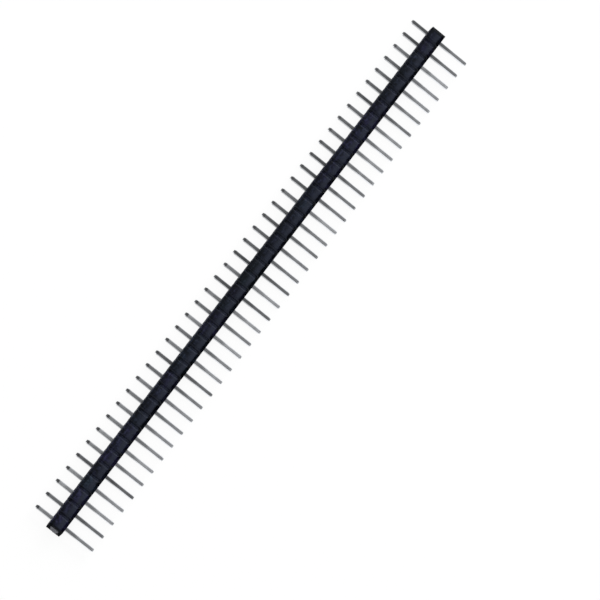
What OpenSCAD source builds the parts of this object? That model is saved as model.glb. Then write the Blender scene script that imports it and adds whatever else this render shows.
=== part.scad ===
// Breakaway pin header strip, single row, 2.54 mm pitch.
// The strip lies on its side: X runs along the row, the long mating posts point to -Y and the
// short solder tails to +Y. Z = 0 is the surface that the insulator lies on, and the middle of
// the pins' length is at Y = 0.

/* [Row] */
// Number of pins in the row
pin_count = 40; // [2:1:59]
// Distance from one pin to the next, mm
pitch = 2.54; // [2.2:0.01:5.08]

/* [Pins] */
// Side of the square pin wire, mm
pin_side = 0.64; // [0.5:0.01:0.8]
// Flat that breaks the long edges of the wire, mm
pin_edge = 0.1; // [0.02:0.01:0.12]
// Length of the mating post in front of the insulator, mm
post_length = 5.4; // [3:0.1:12]
// Length of the solder tail behind the insulator, mm
tail_length = 3.2; // [2:0.1:6]
// Length of the tapered point at each end of a pin, mm
point_length = 0.35; // [0.2:0.05:1]
// Side of the small flat that ends the point, mm
point_side = 0.42; // [0.15:0.01:0.48]

/* [Insulator] */
// Depth of the insulator, measured along the pins, mm
body_depth = 2.54; // [1.5:0.01:5]
// Height of the insulator, measured across the pins, mm
body_height = 2.5; // [2.2:0.05:4]
// Width of the break groove between two cells, mm
groove_width = 0.86; // [0.3:0.02:1]
// Depth of the break groove, mm
groove_depth = 0.4; // [0.1:0.05:0.6]
// Width of the sloped upper edge on the post side, measured along the pins, mm
post_slope_run = 0.55; // [0.1:0.01:0.8]
// Drop of the sloped upper edge on the post side, mm
post_slope_drop = 0.3; // [0.05:0.01:0.5]
// Width of the sloped upper edge on the tail side, measured along the pins, mm
tail_slope_run = 0.26; // [0.05:0.01:0.6]
// Drop of the sloped upper edge on the tail side, mm
tail_slope_drop = 0.08; // [0.02:0.01:0.4]
// Bevel of the lower edge on the post side, mm
foot_bevel = 0.1; // [0.02:0.01:0.3]

/* [Snapped end] */
// How far the foot of the broken web stands out of the end cell, mm
scar_proud = 0.15; // [0.05:0.01:0.3]
// Part of the end groove's wall that is left above the break
scar_start = 0.55; // [0.2:0.05:0.9]

/* [Fit] */
// Gap between a pin and its hole on each side, mm
hole_clearance = 0.01; // [0:0.005:0.05]

/* [Hidden] */
// A pin's node name, such as pin_07
function pin_name(i) = str("pin_", i < 10 ? "0" : "", i);

pin_length = post_length + body_depth + tail_length;
pin_z = body_height / 2;
row_length = pin_count * pitch;
// Middle of the insulator's depth, with the pins' length centred on Y = 0
body_y = (post_length - tail_length) / 2;
// Extra length that lets a cut run past the face it opens
past = 1;

// Place of pin i along the row, and of groove k, where k = 0 and k = pin_count are the two ends
function pin_x(i) = (i - (pin_count + 1) / 2) * pitch;
function groove_x(k) = (k - pin_count / 2) * pitch;

// One face of the row seen from the post side, from its first points on: a V at every cell boundary
// and half a V at the far end
function grooved_line(first, flat_z, floor_z) = [
    each first,
    for (k = [0:pin_count]) each [
        if (k > 0) [groove_x(k) - groove_width / 2, flat_z],
        if (k > 0) [groove_x(k), floor_z],
        if (k < pin_count) [groove_x(k) + groove_width / 2, flat_z]
    ]
];

function reversed(list) = [for (i = [len(list) - 1:-1:0]) list[i]];

// Square with its corners cut off, drawn round the middle
module cut_square(side, corner) {
    h = side / 2;
    c = h - corner;
    polygon([[-c, -h], [c, -h], [h, -c], [h, c], [c, h], [-c, h], [-h, c], [-h, -c]]);
}

// Wire section run along Y, made larger by the clearance for the hole
module wire(length, clearance) {
    rotate([90, 0, 0])
        linear_extrude(length, center = true)
            cut_square(pin_side + 2 * clearance, pin_edge);
}

// Side view of a pin with a tapered point at each end
module pointed_outline() {
    s = pin_side / 2;
    e = point_side / 2;
    tip = pin_length / 2;
    neck = tip - point_length;
    polygon([[-s, -neck], [-e, -tip], [e, -tip], [s, -neck], [s, neck], [e, tip], [-e, tip], [-s, neck]]);
}

module pin(i) {
    color([0.62, 0.62, 0.61])
        translate([pin_x(i), 0, pin_z])
            intersection() {
                wire(pin_length, 0);
                linear_extrude(pin_side + past, center = true) pointed_outline();
                rotate([0, 90, 0]) linear_extrude(pin_side + past, center = true) pointed_outline();
            }
}

// The row's grooved faces, run through the insulator's depth. The strip was snapped off at its first
// end, and the broken web slants from partway down the groove's wall out to its foot.
module cell_row() {
    end_x = groove_x(0);
    tear_top = [end_x + (1 - scar_start) * groove_width / 2, body_height - scar_start * groove_depth];
    foot = [end_x - scar_proud, groove_depth];
    lower = grooved_line([foot, [end_x, groove_depth]], 0, groove_depth);
    upper = grooved_line([tear_top], body_height, body_height - groove_depth);
    translate([0, body_y, 0])
        rotate([90, 0, 0])
            linear_extrude(body_depth, center = true)
                polygon(concat(lower, reversed(upper)));
}

// The insulator's section across the row, sloped along both of its upper edges
module body_section() {
    post_face = body_y - body_depth / 2;
    tail_face = body_y + body_depth / 2;
    rotate([90, 0, 90])
        linear_extrude(row_length + past, center = true)
            polygon([[tail_face, 0], [tail_face, body_height - tail_slope_drop],
                     [tail_face - tail_slope_run, body_height],
                     [post_face + post_slope_run, body_height],
                     [post_face, body_height - post_slope_drop],
                     [post_face, foot_bevel], [post_face + foot_bevel, 0]]);
}

module housing() {
    color([0.13, 0.13, 0.16])
        difference() {
            intersection() {
                cell_row();
                body_section();
            }
            for (i = [1:pin_count])
                translate([pin_x(i), body_y, pin_z])
                    wire(body_depth + past, hole_clearance);
        }
}

housing();
for (i = [1:pin_count])
    pin(i);
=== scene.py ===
"""Looks, light and camera for the pin header strip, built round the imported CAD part.

X runs along the row from pin_01, +Y points to the short solder tails, and Z = 0 is the surface
that the insulator lies on. All lengths are in metres; values named *_MM are millimetres.
"""
import math

import bmesh
import bpy
from mathutils import Matrix, Vector, noise


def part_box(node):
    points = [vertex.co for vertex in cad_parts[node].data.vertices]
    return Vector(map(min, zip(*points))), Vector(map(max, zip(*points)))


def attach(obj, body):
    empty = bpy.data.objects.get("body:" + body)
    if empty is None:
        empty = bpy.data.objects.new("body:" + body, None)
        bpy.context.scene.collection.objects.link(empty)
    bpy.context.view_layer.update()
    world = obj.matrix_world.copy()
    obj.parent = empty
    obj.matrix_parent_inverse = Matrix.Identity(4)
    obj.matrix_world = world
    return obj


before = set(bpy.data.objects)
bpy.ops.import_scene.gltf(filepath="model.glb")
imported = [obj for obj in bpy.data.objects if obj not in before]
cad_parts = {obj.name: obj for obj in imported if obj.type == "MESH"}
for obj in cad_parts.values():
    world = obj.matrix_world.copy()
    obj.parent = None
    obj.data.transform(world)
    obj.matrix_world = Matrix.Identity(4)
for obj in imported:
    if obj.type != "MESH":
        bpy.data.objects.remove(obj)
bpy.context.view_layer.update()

MM = 0.001
BODY_LOW, BODY_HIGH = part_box("housing")
PIN_NAMES = sorted(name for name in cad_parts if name.startswith("pin_"))
FIRST_PIN_LOW, FIRST_PIN_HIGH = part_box(PIN_NAMES[0])
FIRST_PIN_X = (FIRST_PIN_LOW.x + FIRST_PIN_HIGH.x) / 2
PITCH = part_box(PIN_NAMES[1])[0].x - FIRST_PIN_LOW.x

# Faces of the insulator and ends of the pins
TOP_MM = BODY_HIGH.z / MM
POST_FACE_MM = BODY_LOW.y / MM
TAIL_FACE_MM = BODY_HIGH.y / MM
POST_END_MM = FIRST_PIN_LOW.y / MM
TAIL_END_MM = FIRST_PIN_HIGH.y / MM
# Where the flat tops end at the two ends of the row, and a half groove begins
HALF_GROOVE_MM = 0.43
END_SHOULDER_MM = BODY_HIGH.x / MM - HALF_GROOVE_MM

# Points nearer than this are one point, and neighbouring faces that turn less than this are one face
SAME_SPOT = 0.001 * MM
FLAT = math.radians(0.6)
# Width of the rounding, and the least turn of an edge that gets one
GROOVE_ROUNDING = 0.12 * MM
HOUSING_ROUNDING = 0.035 * MM
PIN_ROUNDING = 0.066 * MM
SHARP = math.radians(17)
# A groove's edges: how far from a pin's middle they begin, and how much they turn
GROOVE_FROM_PIN = 0.8 * MM
SHOULDER_TURN = (math.radians(39), math.radians(56))
BOTTOM_TURN = math.radians(75)
# Edges nearer than this to the row's ends belong to the end faces
END_MARGIN = 0.1 * MM

# The broken web on the first cell: x and z of its upper edge and foot, and where it is pale along y
SCAR_TOP_MM = (BODY_LOW.x / MM + 0.344, 2.28)
SCAR_FOOT_MM = (BODY_LOW.x / MM, 0.4)
SCAR_PALE_MM = (0.45, 1.72)
CHIP_WIDTH_MM = 0.5
# Torn surface: its mesh, how far it stands out, and how deep its rim is sunk
TORN_CELL_MM = 0.034
TORN_THICK_MM = 0.08
TORN_PROUD_MM = 0.015
RIM_SUNK_MM = 0.04
# Its lumps, and their fractal: how fast small lumps fade, the step in size, and the number of sizes
LUMP_HEIGHT_MM = 0.09
LUMPS_PER_MM = 3.2
LUMP_FRACTAL = (0.9, 2.1, 4)
# How far the torn surface and the chip stay inside the faces round them
INSET_MM = 0.02

# Camera: where it looks, from how far, and how it leans and rolls against the part
AIM_MM = Vector((1.84, -7.39, 1.25))
DISTANCE_MM = 520
LEAN_TO_FIRST_PIN = math.radians(15.46)
LEAN_TO_TAILS = math.radians(5.34)
ROW_SLOPE = math.radians(52.6)
LENS = 199.4
SENSOR_WIDTH = 36

FLOOR_HALF_SIDE = 8.0
FLOOR_TOP = -0.01 * MM

# Colours
GREEN_BLACK = (0.0026, 0.0056, 0.0076, 1)
VIOLET_BLACK = (0.0052, 0.0041, 0.0162, 1)
# Pale black for real scuffs, also used for painted light beside the slope and on the grooves' +X walls
WORN_AND_LIT_BLACK = (0.0125, 0.0147, 0.0240, 1)
BLUISH_GLOSS = (0.74, 0.82, 1.0, 1)
TIN = (0.713, 0.730, 0.757)
TORN_BLACK = (0.002, 0.0025, 0.004, 1)
TORN_PALE = (0.185, 0.185, 0.205)
PAPER = (0.93, 0.93, 0.93, 1)
WHITE = (1, 1, 1, 1)

# Most values of a noise texture lie between these
NOISE_LOW, NOISE_HIGH = 0.3, 0.7


# ---------------------------------------------------------------- node helpers

class Nodes:
    """A node tree with short calls for the nodes used here. An input is a socket or a plain value."""

    def __init__(self, tree, clear=True):
        self.tree = tree
        if clear:
            tree.nodes.clear()

    def add(self, kind, inputs=None, **settings):
        node = self.tree.nodes.new(kind)
        for name, value in settings.items():
            setattr(node, name, value)
        for name, value in (inputs or {}).items():
            self.feed(node.inputs[name], value)
        return node

    def feed(self, socket, value):
        if isinstance(value, bpy.types.NodeSocket):
            self.tree.links.new(value, socket)
        else:
            socket.default_value = value

    def math(self, operation, a, b=0.0):
        return self.add("ShaderNodeMath", {0: a, 1: b}, operation=operation).outputs[0]

    def product(self, *factors):
        total = factors[0]
        for factor in factors[1:]:
            total = self.math("MULTIPLY", total, factor)
        return total

    def total(self, *parts):
        result = parts[0]
        for part in parts[1:]:
            result = self.math("ADD", result, part)
        return result

    def ramp(self, value, low, high, to_low=0.0, to_high=1.0):
        """Smooth step: to_low up to low, to_high from high on."""
        inputs = {"Value": value, "From Min": low, "From Max": high, "To Min": to_low, "To Max": to_high}
        node = self.add("ShaderNodeMapRange", inputs, interpolation_type="SMOOTHSTEP")
        return node.outputs["Result"]

    def rise(self, value, place, soft):
        """0 below the place and 1 above it, with a soft change that reaches this far to both sides."""
        return self.ramp(value, place - soft, place + soft)

    def fall(self, value, place, soft):
        """1 below the place and 0 above it."""
        return self.ramp(value, place - soft, place + soft, 1.0, 0.0)

    def pick(self, mask, outside, inside):
        """One value where the mask is 0, and the other where it is 1."""
        return self.ramp(mask, 0.0, 1.0, outside, inside)

    def vary(self, texture, low, high):
        """From low to high as a noise goes from its low values to its high ones."""
        return self.ramp(texture, NOISE_LOW, NOISE_HIGH, low, high)

    def chance(self, number, low, high):
        """A value between low and high that is drawn afresh for each whole number."""
        draw = self.add("ShaderNodeTexWhiteNoise", {"W": number}, noise_dimensions="1D")
        return self.math("ADD", self.math("MULTIPLY", draw.outputs["Value"], high - low), low)

    def noise(self, vector, scale, detail=2.0, roughness=0.5):
        inputs = {"Vector": vector, "Scale": scale, "Detail": detail, "Roughness": roughness}
        return self.add("ShaderNodeTexNoise", inputs).outputs["Fac"]

    def stretch(self, vector, x, y, z):
        node = self.add("ShaderNodeVectorMath", {0: vector, 1: (x, y, z)}, operation="MULTIPLY")
        return node.outputs["Vector"]

    def split(self, vector):
        outputs = self.add("ShaderNodeSeparateXYZ", {0: vector}).outputs
        return outputs["X"], outputs["Y"], outputs["Z"]

    def mix(self, factor, a, b):
        """Mixes two colours."""
        node = self.add("ShaderNodeMix", data_type="RGBA")
        self.feed(node.inputs["Factor"], factor)
        self.feed(node.inputs["A"], a)
        self.feed(node.inputs["B"], b)
        return node.outputs["Result"]

    def blend(self, factor, a, b):
        """Mixes two numbers."""
        node = self.add("ShaderNodeMix", {"Factor": factor, "A": a, "B": b}, data_type="FLOAT")
        return node.outputs[0]

    def scale_colour(self, colour, factor):
        node = self.add("ShaderNodeVectorMath", {0: colour}, operation="SCALE")
        self.feed(node.inputs["Scale"], factor)
        return node.outputs["Vector"]

    def bump(self, height, distance, normal=None):
        inputs = {"Height": height, "Distance": distance, "Strength": 1.0}
        if normal is not None:
            inputs["Normal"] = normal
        return self.add("ShaderNodeBump", inputs).outputs["Normal"]


def new_material(name):
    material = bpy.data.materials.new(name)
    material.use_nodes = True
    return material, Nodes(material.node_tree)


def finish_material(n, shader):
    n.add("ShaderNodeOutputMaterial", {"Surface": shader.outputs[0]})


def part_position(n):
    """Place on the part in millimetres, as a vector and as x, y and z."""
    coordinates = n.add("ShaderNodeTexCoord").outputs["Object"]
    place = n.stretch(coordinates, 1 / MM, 1 / MM, 1 / MM)
    return place, *n.split(place)


def cell_place(n, x):
    """Number of the cell that x lies in, and how far x is from its pin's middle, in millimetres."""
    along = n.math("DIVIDE", n.math("SUBTRACT", x, FIRST_PIN_X / MM), PITCH / MM)
    number = n.math("ROUND", along)
    return number, n.math("MULTIPLY", n.math("SUBTRACT", along, number), PITCH / MM)


# ---------------------------------------------------------------- black insulator

def insulator_areas(n, x, y, z, offset):
    """The parts of the insulator that look different, each as a mask: 1 on it and 0 elsewhere."""
    top = n.rise(z, TOP_MM - 0.8, 0.05)
    last_end = n.rise(x, END_SHOULDER_MM - 0.275, 0.125)
    first_end = n.fall(x, -END_SHOULDER_MM, 0.1)
    return {
        "top": top,
        "slope": n.product(top, n.fall(y, POST_FACE_MM + 0.5, 0.08)),
        "tail_edge": n.product(top, n.rise(y, TAIL_FACE_MM - 0.525, 0.125),
                               n.fall(y, TAIL_FACE_MM - 0.15, 0.07)),
        "groove": n.rise(n.math("ABSOLUTE", offset), 0.84, 0.06),
        "end": n.math("MAXIMUM", last_end, first_end),
        "past_shoulder": n.rise(n.math("ABSOLUTE", x), END_SHOULDER_MM, 0.05),
    }


def insulator_shade(n, place, number, mottle, speckle, areas):
    """Brightness of the bare plastic: uneven over a cell, from cell to cell and along the row, with painted
    shade on the sloped post edge, the tail edge and the ends of the row.
    """
    # Painted shade: the sloped post edge is darkened to half, and nearly to black where a groove meets it.
    painted_slope_shade = n.pick(areas["groove"], 0.5, 0.05)
    slow_change = n.ramp(n.noise(place, 0.06), 0.35, 0.65, 0.6, 1.4)
    return n.product(
        n.vary(mottle, 0.2, 1.8),
        n.pick(areas["slope"], 1.0, painted_slope_shade),
        # Painted shade: a darker strip along the top's tail edge.
        n.pick(areas["tail_edge"], 1.0, 0.3),
        n.vary(speckle, 0.4, 1.6),
        # Painted shade: the end walls of the row are darkened nearly to black.
        n.pick(areas["end"], 1.0, 0.1),
        n.chance(number, 0.65, 1.35),
        slow_change)


def insulator_wear_and_light(n, y, offset, mottle, speckle, areas):
    """Where the plastic is pale: real scuffs here and there, and painted light in a band beside the slope and
    on the groove walls that face +X.
    """
    ragged_y = n.math("ADD", y, n.math("MULTIPLY", n.math("SUBTRACT", mottle, 0.5), 0.5))
    # Painted light: a paler band on the top beside the sloped post edge.
    painted_light_band = n.product(areas["top"], n.rise(ragged_y, POST_FACE_MM + 0.625, 0.175),
                    n.fall(ragged_y, POST_FACE_MM + 1.325, 0.375))
    # Painted light: the wall of each groove that faces +X is paler.
    painted_groove_light = n.product(areas["top"], n.rise(offset, 0.975, 0.045), n.fall(offset, 1.15, 0.05))
    scuff = n.product(areas["top"], n.rise(speckle, 0.58, 0.08), n.rise(mottle, 0.51, 0.09))
    pale = n.math("MAXIMUM", n.math("MULTIPLY", painted_light_band, 0.85), painted_groove_light)
    pale = n.math("MAXIMUM", pale, n.math("MULTIPLY", scuff, 0.8))
    for bare in ("end", "slope", "tail_edge"):
        pale = n.math("MULTIPLY", pale, n.math("SUBTRACT", 1.0, areas[bare]))
    return pale


def insulator_tone(n, place, number):
    """Bluish green to violet black: each cell has its own tone, which drifts a little within it."""
    own = n.chance(n.math("ADD", number, 0.5), 0.0, 0.75)
    drift = n.vary(n.noise(place, 0.5), 0.0, 0.25)
    return n.mix(n.math("ADD", own, drift), GREEN_BLACK, VIOLET_BLACK)


def insulator_roughness(n, place, mottle, areas):
    """Satin on the top and matt on the faces that the pins come out of and at the two ends."""
    waves = n.noise(place, 0.35, detail=1)
    normal = n.add("ShaderNodeTexCoord").outputs["Normal"]
    facing_pins = n.math("ABSOLUTE", n.split(normal)[1])
    return n.total(
        n.vary(mottle, 0.33, 0.41),
        n.ramp(waves, 0.35, 0.65, -0.02, 0.03),
        n.ramp(facing_pins, 0.6, 0.9, 0.0, 0.45),
        n.math("MULTIPLY", areas["past_shoulder"], 0.4),
        n.math("MULTIPLY", areas["slope"], -0.1))


def insulator_material():
    """Black glass-filled nylon: bluish and matt from the mould, a little waved and scuffed, with painted shade
    on its sloped edge, tail edge and ends, and painted light beside the slope and on one wall of each groove.
    """
    material, n = new_material("insulator_black")
    place, x, y, z = part_position(n)
    number, offset = cell_place(n, x)
    mottle = n.noise(place, 1.3, detail=3, roughness=0.55)
    speckle = n.noise(place, 2.4, detail=4, roughness=0.6)
    grain = n.noise(place, 16, detail=3, roughness=0.6)
    areas = insulator_areas(n, x, y, z, offset)

    shade = insulator_shade(n, place, number, mottle, speckle, areas)
    bare = n.scale_colour(insulator_tone(n, place, number), shade)
    # Real scuffs plus painted light beside the slope and on the grooves' +X walls.
    wear_and_light = insulator_wear_and_light(n, y, offset, mottle, speckle, areas)
    waved = n.bump(mottle, 0.03 * MM)
    shader = n.add("ShaderNodeBsdfPrincipled", {
        "Base Color": n.mix(wear_and_light, bare, WORN_AND_LIT_BLACK),
        "Roughness": insulator_roughness(n, place, mottle, areas),
        "Normal": n.bump(grain, 0.004 * MM, waved),
        "IOR": 1.41,
        "Specular Tint": BLUISH_GLOSS})
    finish_material(n, shader)
    return material


# ---------------------------------------------------------------- tinned pins

def pin_face_shade(n, place, x, y, number, tail_neck):
    """Brightness of the rolled faces: each pin differs, and painted shade makes the tails darker towards the
    last pin and near the insulator; the tails' necks get their own painted shade.
    """
    cloud = n.noise(place, 1.1, detail=2)
    # Painted shade: the tails darken towards the last pin and near the insulator.
    along_row = n.ramp(x, -50, 25, 1.3, 0.73)
    along_tail = n.ramp(y, TAIL_FACE_MM + 0.6, TAIL_FACE_MM + 2.4, 0.9, 1.15)
    on_tail = n.ramp(y, POST_FACE_MM, TAIL_FACE_MM)
    tail = n.pick(on_tail, 1.0, n.math("MULTIPLY", along_row, along_tail))
    face = n.product(n.chance(number, 0.46, 1.23), n.vary(cloud, 0.9, 1.1), tail)
    # Painted shade on the neck of each tail, a little lighter towards the last pin.
    neck = n.ramp(x, 5, 45, 0.51, 0.62)
    return n.pick(tail_neck, face, neck)


def pin_material():
    """Bright tin over drawn brass wire, with fine lines along the pin, bright sides and sheared points;
    painted shade near the insulator and on the tails' necks, and painted highlights on the points.
    """
    material, n = new_material("pins_tin")
    place, x, y, _ = part_position(n)
    number, offset = cell_place(n, x)
    tail_neck = n.rise(y, TAIL_END_MM - 0.55, 0.11)
    tail_tip = n.rise(y, TAIL_END_MM - 0.23, 0.11)
    post_tip = n.fall(y, POST_END_MM + 0.25, 0.15)
    side = n.rise(n.math("ABSOLUTE", offset), 0.23, 0.08)
    shade = n.product(
        n.pick(side, pin_face_shade(n, place, x, y, number, tail_neck), 1.2),
        # Painted shade: the posts darken as they near the insulator, and this darker level holds over the
        # tails.
        n.ramp(y, POST_FACE_MM - 2.9, POST_FACE_MM - 1.1, 1.0, 0.66),
        # Painted shade on the tails' necks, and painted highlights on the points of the tails and posts.
        n.pick(tail_neck, 1.0, 0.8),
        n.pick(tail_tip, 1.0, 2.2),
        n.pick(post_tip, 1.0, 1.7))
    lines = n.noise(n.stretch(place, 30, 0.8, 30), 1, detail=3, roughness=0.6)
    shader = n.add("ShaderNodeBsdfPrincipled", {
        "Base Color": n.scale_colour(TIN, n.math("MINIMUM", shade, 1.3)),
        "Roughness": n.math("ADD", n.vary(lines, 0.24, 0.36), n.math("MULTIPLY", post_tip, 0.35)),
        "Normal": n.bump(lines, 0.0004 * MM),
        "Metallic": 1.0})
    finish_material(n, shader)
    return material


# ---------------------------------------------------------------- torn nylon and floor

def scar_material():
    """Torn nylon: whitened by the strain in the middle of the web, still black in its corners."""
    material, n = new_material("insulator_torn")
    place, _, y, z = part_position(n)
    grain = n.noise(place, 9, detail=4, roughness=0.65)
    tear = n.math("SUBTRACT", n.noise(place, 1.6, detail=5, roughness=0.65), 0.5)
    ragged_y = n.math("ADD", y, n.math("MULTIPLY", tear, 1.5))
    ragged_z = n.math("ADD", z, n.math("MULTIPLY", tear, 0.9))
    pale_low, pale_high = SCAR_PALE_MM
    top_z = SCAR_TOP_MM[1]
    middle = n.product(n.rise(ragged_y, pale_low, 0.12), n.fall(ragged_y, pale_high, 0.12),
                       n.ramp(ragged_z, top_z - 0.7, top_z - 0.1, 1.0, 0.15))
    pale = n.scale_colour(TORN_PALE, n.vary(grain, 0.5, 1.5))
    shader = n.add("ShaderNodeBsdfPrincipled", {
        "Base Color": n.mix(middle, TORN_BLACK, pale),
        "Normal": n.bump(grain, 0.01 * MM),
        "Roughness": 0.9,
        "Specular IOR Level": 0.08})
    finish_material(n, shader)
    return material


def floor_material():
    """White paper under a soft shadow. The camera, metal and gloss see it as mostly plain white."""
    material, n = new_material("floor_white")
    paper = n.add("ShaderNodeBsdfDiffuse", {"Color": PAPER})
    glow = n.add("ShaderNodeEmission", {"Color": WHITE, "Strength": 1.0})
    path = n.add("ShaderNodeLightPath").outputs
    seen = n.math("MAXIMUM", path["Is Camera Ray"], path["Is Glossy Ray"])
    seen = n.math("MAXIMUM", seen, path["Is Transmission Ray"])
    glow_share = n.math("MULTIPLY", seen, 0.9)
    both = n.add("ShaderNodeMixShader", {0: glow_share, 1: paper.outputs[0], 2: glow.outputs[0]})
    finish_material(n, both)
    return material


# ---------------------------------------------------------------- rounded edges of the CAD nodes

def geometry_group(name):
    group = bpy.data.node_groups.new(name, "GeometryNodeTree")
    group.interface.new_socket("Geometry", in_out="INPUT", socket_type="NodeSocketGeometry")
    group.interface.new_socket("Geometry", in_out="OUTPUT", socket_type="NodeSocketGeometry")
    return group


def chain(group, kinds):
    """Geometry nodes in a row, from the group's input to its output."""
    steps = [group.nodes.new(kind) for kind in ("NodeGroupInput", *kinds, "NodeGroupOutput")]
    for before, after in zip(steps, steps[1:]):
        group.links.new(before.outputs[0], after.inputs[0])
    return steps[1:-1]


def clean_group():
    """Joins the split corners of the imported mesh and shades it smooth, so that a bevel follows its edges."""
    group = geometry_group("clean_mesh")
    unsplit, merge, _ = chain(group, (
        "GeometryNodeRemoveAttribute", "GeometryNodeMergeByDistance", "GeometryNodeSetShadeSmooth"))
    unsplit.inputs["Name"].default_value = "custom_normal"
    merge.inputs["Distance"].default_value = SAME_SPOT
    return group


def join_group():
    """Joins the points that one bevel leaves on the same spot, so that the next one closes its corners."""
    group = geometry_group("join_corners")
    merge, = chain(group, ("GeometryNodeMergeByDistance",))
    merge.inputs["Distance"].default_value = SAME_SPOT
    return group


def groove_group():
    """Marks the edges that run along the grooves, for a bevel of their own."""
    group = geometry_group("groove_edges")
    mark, = chain(group, ("GeometryNodeStoreNamedAttribute",))
    mark.domain = "EDGE"
    mark.inputs["Name"].default_value = "bevel_weight_edge"
    n = Nodes(group, clear=False)
    corners = n.add("GeometryNodeInputMeshEdgeVertices").outputs
    x, other_x = [n.split(corners[name])[0] for name in ("Position 1", "Position 2")]
    straight = n.math("LESS_THAN", n.math("ABSOLUTE", n.math("SUBTRACT", x, other_x)), SAME_SPOT)
    from_pin = n.math("PINGPONG", n.math("SUBTRACT", x, FIRST_PIN_X), PITCH / 2)
    in_groove = n.math("GREATER_THAN", from_pin, GROOVE_FROM_PIN)
    inside = n.math("LESS_THAN", n.math("ABSOLUTE", x), BODY_HIGH.x - END_MARGIN)
    turn = n.add("GeometryNodeInputMeshEdgeAngle").outputs["Unsigned Angle"]
    least, most = SHOULDER_TURN
    shoulder = n.product(n.math("GREATER_THAN", turn, least), n.math("LESS_THAN", turn, most))
    bottom = n.math("GREATER_THAN", turn, BOTTOM_TURN)
    weight = n.product(n.math("MAXIMUM", shoulder, bottom), straight, in_groove, inside)
    n.feed(mark.inputs["Value"], weight)
    return group


def add_group(obj, name, group):
    obj.modifiers.new(name, "NODES").node_group = group


def flatten(obj, clean):
    add_group(obj, "clean", clean)
    flat = obj.modifiers.new("flat", "DECIMATE")
    flat.decimate_type = "DISSOLVE"
    flat.angle_limit = FLAT


def round_edges(obj, width, segments=3, by="ANGLE"):
    bevel = obj.modifiers.new("edges_" + by.lower(), "BEVEL")
    bevel.width = width
    bevel.segments = segments
    bevel.limit_method = by
    bevel.angle_limit = SHARP
    bevel.harden_normals = True
    bevel.miter_outer = "MITER_ARC"


def dress_housing(clean, material):
    """Rounds the shoulders and bottoms of the grooves, then every other sharp edge."""
    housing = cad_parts["housing"]
    flatten(housing, clean)
    add_group(housing, "grooves", groove_group())
    round_edges(housing, GROOVE_ROUNDING, segments=5, by="WEIGHT")
    add_group(housing, "joined", join_group())
    round_edges(housing, HOUSING_ROUNDING)
    housing.material_slots[0].material = material


def dress_pins(clean, material):
    for name in PIN_NAMES:
        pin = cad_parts[name]
        flatten(pin, clean)
        round_edges(pin, PIN_ROUNDING)
        pin.material_slots[0].material = material


# ---------------------------------------------------------------- the snapped end

def torn_mesh(name, top, foot, low, high):
    """A lumpy surface from top down to foot, between y = low and y = high, with its rim sunk."""
    down = foot - top
    out = Vector((down.z, 0, -down.x)).normalized()
    rows = round(down.length / TORN_CELL_MM)
    columns = round((high - low) / TORN_CELL_MM)
    mesh = bmesh.new()
    grid = []
    for i in range(rows + 1):
        line = []
        for j in range(columns + 1):
            place = top + down * i / rows
            place.y = low + (high - low) * j / columns
            on_rim = i in (0, rows) or j in (0, columns)
            lump = noise.fractal(place * LUMPS_PER_MM, *LUMP_FRACTAL) * LUMP_HEIGHT_MM
            height = -RIM_SUNK_MM if on_rim else TORN_PROUD_MM + abs(lump)
            line.append(mesh.verts.new((place + out * height) * MM))
        grid.append(line)
    for upper, lower in zip(grid, grid[1:]):
        for j in range(columns):
            mesh.faces.new((upper[j], upper[j + 1], lower[j + 1], lower[j]))
    data = bpy.data.meshes.new(name)
    mesh.normal_update()
    mesh.to_mesh(data)
    mesh.free()
    return data


def add_torn_sheet(name, material, top_mm, foot_mm, low, high):
    """A torn surface between two edges, each given as x and z, that grows out of the face under it."""
    top = Vector((top_mm[0], 0, top_mm[1]))
    foot = Vector((foot_mm[0], 0, foot_mm[1]))
    data = torn_mesh(name, top, foot, low, high)
    data.materials.append(material)
    data.shade_smooth()
    piece = bpy.data.objects.new(name, data)
    bpy.context.scene.collection.objects.link(piece)
    thick = piece.modifiers.new("thick", "SOLIDIFY")
    thick.thickness = TORN_THICK_MM * MM
    thick.offset = -1
    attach(piece, "root")


def add_broken_end():
    """The broken web from its upper edge to its foot, and the chipped corner above it on the tail side."""
    torn = scar_material()
    low, high = POST_FACE_MM + INSET_MM, TAIL_FACE_MM - INSET_MM
    add_torn_sheet("break_scar", torn, SCAR_TOP_MM, SCAR_FOOT_MM, low, high)
    wall_top = (-END_SHOULDER_MM, TOP_MM - INSET_MM)
    add_torn_sheet("break_chip", torn, wall_top, SCAR_TOP_MM, high - CHIP_WIDTH_MM, high)


# ---------------------------------------------------------------- floor, light, camera

def add_floor():
    mesh = bpy.data.meshes.new("floor")
    half = FLOOR_HALF_SIDE
    corners = [(x, y, FLOOR_TOP) for x, y in ((-half, -half), (half, -half), (half, half), (-half, half))]
    mesh.from_pydata(corners, [], [(0, 1, 2, 3)])
    mesh.materials.append(floor_material())
    floor = bpy.data.objects.new("floor", mesh)
    bpy.context.scene.collection.objects.link(floor)


def sky_strength(n, x, y, z):
    """Soft studio: white at the horizon and the ends, grey overhead, and a dark card beyond the posts."""
    minus_x, minus_y = n.math("MULTIPLY", x, -1.0), n.math("MULTIPLY", y, -1.0)
    overhead = n.total(0.26, n.math("MULTIPLY", y, -0.25), n.math("MULTIPLY", x, 0.3))
    overhead = n.math("MINIMUM", n.math("MAXIMUM", overhead, 0.2), 0.46)
    ends = n.math("MAXIMUM", n.ramp(x, 0.42, 0.75), n.ramp(minus_x, 0.72, 0.92, 0.0, 0.8))
    card = n.product(n.rise(minus_y, 0.58, 0.06), n.rise(x, -0.25, 0.1), n.fall(x, 0.6, 0.1))
    above_horizon = n.ramp(z, 0.05, 0.12)
    open_sky = n.blend(ends, overhead, 1.0)
    return n.blend(above_horizon, 1.0, n.blend(card, open_sky, 0.015))


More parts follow.
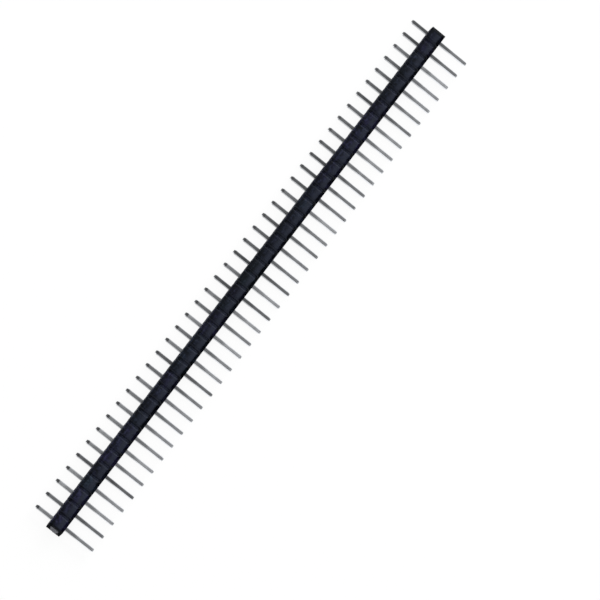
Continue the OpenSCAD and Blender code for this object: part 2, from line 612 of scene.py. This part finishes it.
def add_sky():
    """The soft studio lights the part and shows in its gloss. The camera itself sees plain white."""
    world = bpy.data.worlds.new("studio")
    bpy.context.scene.world = world
    world.use_nodes = True
    n = Nodes(world.node_tree)
    direction = n.add("ShaderNodeTexCoord").outputs["Generated"]
    lit = sky_strength(n, *n.split(direction))
    seen = n.add("ShaderNodeLightPath").outputs["Is Camera Ray"]
    background = n.add("ShaderNodeBackground", {"Color": WHITE, "Strength": n.blend(seen, lit, 1.0)})
    n.add("ShaderNodeOutputWorld", {"Surface": background.outputs[0]})


def add_soft_box(name, azimuth, elevation, distance, side, power):
    """A square soft light that faces the part. Azimuth 0 is +X and 90 is +Y. Gloss shows the sky instead."""
    light = bpy.data.lights.new(name, "AREA")
    light.shape = "SQUARE"
    light.size = side
    light.energy = power
    lamp = bpy.data.objects.new(name, light)
    a, e = math.radians(azimuth), math.radians(elevation)
    outward = Vector((math.cos(a) * math.cos(e), math.sin(a) * math.cos(e), math.sin(e)))
    lamp.location = outward * distance
    lamp.rotation_mode = "QUATERNION"
    lamp.rotation_quaternion = outward.to_track_quat("Z", "Y")
    lamp.visible_glossy = False
    bpy.context.scene.collection.objects.link(lamp)


def add_lamps():
    add_soft_box("key", azimuth=0, elevation=28, distance=1.2, side=0.7, power=8)
    add_soft_box("fill", azimuth=0, elevation=90, distance=1.1, side=1.3, power=9)


def add_camera():
    """The camera looks down, leans towards pin_01 and the tails, and rolls so that the row rises."""
    back = Vector((-math.tan(LEAN_TO_FIRST_PIN), math.tan(LEAN_TO_TAILS), 1)).normalized()
    row = (Vector((1, 0, 0)) - back * back.x).normalized()
    right = Matrix.Rotation(-ROW_SLOPE, 3, back) @ row
    up = back.cross(right)
    pose = Matrix((right, up, back)).transposed().to_4x4()
    pose.translation = (AIM_MM + back * DISTANCE_MM) * MM
    data = bpy.data.cameras.new("camera")
    data.lens = LENS
    data.sensor_width = SENSOR_WIDTH
    data.clip_start = 0.01
    data.clip_end = 50
    camera = bpy.data.objects.new("camera", data)
    bpy.context.scene.collection.objects.link(camera)
    camera.matrix_world = pose
    bpy.context.scene.camera = camera


def main():
    clean = clean_group()
    dress_housing(clean, insulator_material())
    dress_pins(clean, pin_material())
    add_broken_end()
    add_floor()
    add_sky()
    add_lamps()
    add_camera()
    bpy.context.scene.view_settings.view_transform = "Standard"


main()
